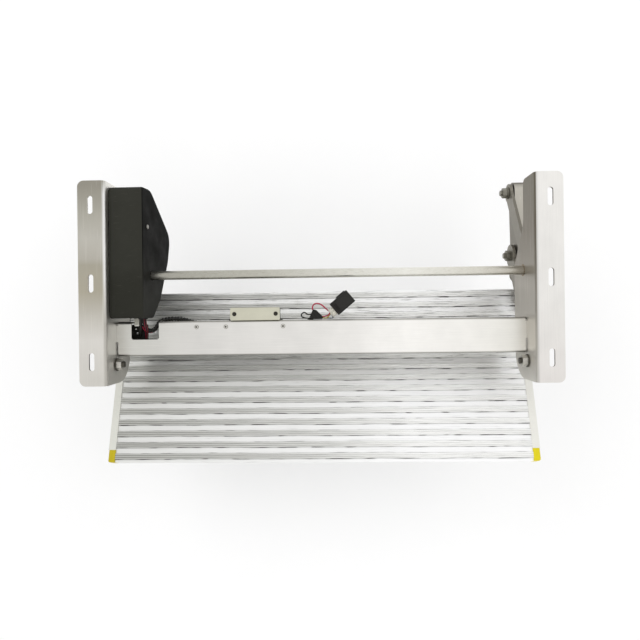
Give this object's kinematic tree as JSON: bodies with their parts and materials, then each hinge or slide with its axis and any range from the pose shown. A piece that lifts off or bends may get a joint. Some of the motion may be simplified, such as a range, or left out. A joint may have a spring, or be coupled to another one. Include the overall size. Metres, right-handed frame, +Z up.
{
  "type": "electric folding step",
  "caption": "Electric folding entry step: slotted side brackets joined by a channel, with motor, shaft and arms that swing a ribbed metal tread out and down.",
  "frame": {"origin": "on the flat top of the two mounting flanges, midway between them and level with their middle slots", "axes": "+X towards the right-hand bracket as seen from above with the nose of the tread nearest, +Y into the vehicle, away from the tread's nose, +Z up against the vehicle's floor; the rest pose is the step folded away"},
  "size_m": [0.61, 0.3974, 0.1749],
  "materials": {
    "stainless": "brushed",
    "dark_steel": "satin",
    "zinc_steel": "bright",
    "channel_alu": "satin",
    "aluminium": "satin",
    "cast_alloy": "as cast",
    "motor_steel": "satin",
    "brass": "satin",
    "bronze": "satin",
    "cover_plastic": "fine grain",
    "box_plastic": "smooth",
    "cream_plastic": "smooth",
    "yellow_plastic": "smooth",
    "connector_black": "smooth",
    "black_nylon": "smooth",
    "neck_clear": "translucent",
    "board_green": "smooth",
    "black_screw": "satin",
    "rubber_black": "matt",
    "cable_black": "matt",
    "tape_black": "satin",
    "wire_red": "gloss",
    "wire_yellow": "gloss",
    "wire_grey": "gloss"
  },
  "bodies": {
    "frame": {"left_bracket": "stainless", "right_bracket": "stainless", "cross_channel": "channel_alu", "channel_screws": "zinc_steel", "shaft_bush_left": "black_nylon", "shaft_bush_right": "black_nylon", "support_pivot_bolts": "zinc_steel", "support_pivot_sleeves": "brass", "support_pivot_washers": "zinc_steel", "support_pivot_nuts": "zinc_steel", "gear_case": "cast_alloy", "gear_case_screws": "zinc_steel", "motor_can": "motor_steel", "motor_cover": "cover_plastic", "cover_back": "cover_plastic", "cover_screws": "zinc_steel", "cover_face_screw": "zinc_steel", "control_box": "box_plastic", "control_lid": "cream_plastic", "control_lid_screws": "black_screw", "control_board": "board_green", "motor_loom": "cable_black", "loom_gland": "rubber_black", "plug_lead": "cable_black", "taped_joint": "tape_black", "wire_red": "wire_red", "wire_black": "cable_black", "wire_yellow": "wire_yellow", "wire_grey": "wire_grey", "lead_connector": "connector_black", "connector_neck": "neck_clear"},
    "drive": {"drive_shaft": "zinc_steel", "drive_arm_left": "dark_steel", "drive_arm_right": "dark_steel", "arm_pins": "zinc_steel", "worm_wheel": "bronze"},
    "support_arms": {"support_arm_left": "dark_steel", "support_arm_right": "dark_steel", "support_bushes": "black_nylon", "link_bolts": "zinc_steel", "link_nuts": "zinc_steel", "link_sleeves": "brass", "link_washers": "zinc_steel"},
    "tread": {"tread_deck": "aluminium", "tread_side_left": "stainless", "tread_side_right": "stainless", "corner_cap_left": "yellow_plastic", "corner_cap_right": "yellow_plastic", "tread_screws": "zinc_steel", "drive_pin_bolts": "zinc_steel", "drive_pin_sleeves": "brass", "drive_pin_washers": "zinc_steel", "drive_pin_nuts": "zinc_steel"}
  },
  "joints": [
    {"name": "shaft_turn", "type": "hinge", "parent": "frame", "child": "drive", "pos_m": [0, 0.0125, -0.05], "axis": [-1, 0, 0], "range_deg": [0, 82]},
    {"name": "tread_turn", "type": "hinge", "parent": "drive", "child": "tread", "pos_m": [0, 0.131, -0.13], "axis": [1, 0, 0], "range_deg": [0, 100.24]},
    {"name": "support_swing", "type": "hinge", "parent": "frame", "child": "support_arms", "pos_m": [0, -0.106, -0.0345], "axis": [-1, 0, 0], "range_deg": [0, 69.65]}
  ],
  "couplings": [
    {"joint": "tread_turn", "follows": "shaft_turn", "ratio": 1.2224},
    {"joint": "support_swing", "follows": "shaft_turn", "ratio": 0.84937}
  ]
}
